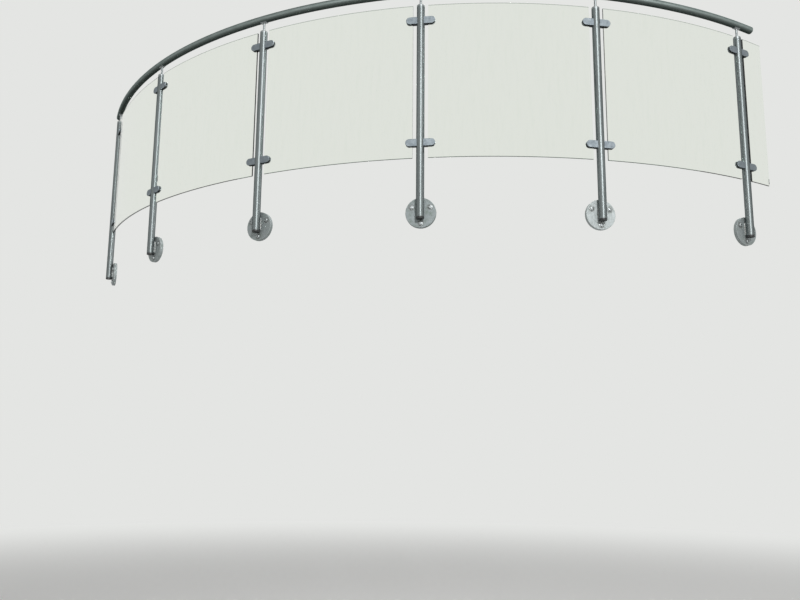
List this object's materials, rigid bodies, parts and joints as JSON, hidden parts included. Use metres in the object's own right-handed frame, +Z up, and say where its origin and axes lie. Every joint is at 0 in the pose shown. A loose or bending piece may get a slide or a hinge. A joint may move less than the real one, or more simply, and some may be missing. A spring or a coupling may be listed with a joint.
{
  "type": "glass balcony balustrade",
  "caption": "Curved balcony balustrade: round steel posts on face-fixed flanges, D-shaped clamps holding curved clear glass, and a round handrail on thin stems.",
  "frame": {"origin": "centre of the back face of the third post's fixing flange, counted from the left as seen from outside", "axes": "+Z up, +X along the chord of the arc to the right as seen from outside, -Y out from the building"},
  "size_m": [4.4898, 1.0837, 1.3272],
  "materials": {
    "steel": "satin ground stainless steel tube",
    "flange": "satin ground stainless steel plate, weathered",
    "clamp": "satin cast stainless steel",
    "glass": "clear toughened glass, ground edges",
    "gasket": "black rubber",
    "plug": "black moulded plastic"
  },
  "bodies": {
    "root": {"post_1": "steel", "post_2": "steel", "post_3": "steel", "post_4": "steel", "post_5": "steel", "post_6": "steel", "post_flange_1": "flange", "post_flange_2": "flange", "post_flange_3": "flange", "post_flange_4": "flange", "post_flange_5": "flange", "post_flange_6": "flange", "rail_bracket_1": "steel", "rail_bracket_2": "steel", "rail_bracket_3": "steel", "rail_bracket_4": "steel", "rail_bracket_5": "steel", "rail_bracket_6": "steel", "upper_clamps_1": "clamp", "upper_clamps_2": "clamp", "upper_clamps_3": "clamp", "upper_clamps_4": "clamp", "upper_clamps_5": "clamp", "upper_clamps_6": "clamp", "lower_clamps_1": "clamp", "lower_clamps_2": "clamp", "lower_clamps_3": "clamp", "lower_clamps_4": "clamp", "lower_clamps_5": "clamp", "lower_clamps_6": "clamp", "clamp_gaskets_1": "gasket", "clamp_gaskets_2": "gasket", "clamp_gaskets_3": "gasket", "clamp_gaskets_4": "gasket", "clamp_gaskets_5": "gasket", "clamp_gaskets_6": "gasket", "glass_pane_1": "glass", "glass_pane_2": "glass", "glass_pane_3": "glass", "glass_pane_4": "glass", "glass_pane_5": "glass", "glass_return_left": "glass", "glass_return_right": "glass", "handrail": "steel", "handrail_end_caps": "steel", "foot_plugs": "plug"}
  },
  "joints": []
}
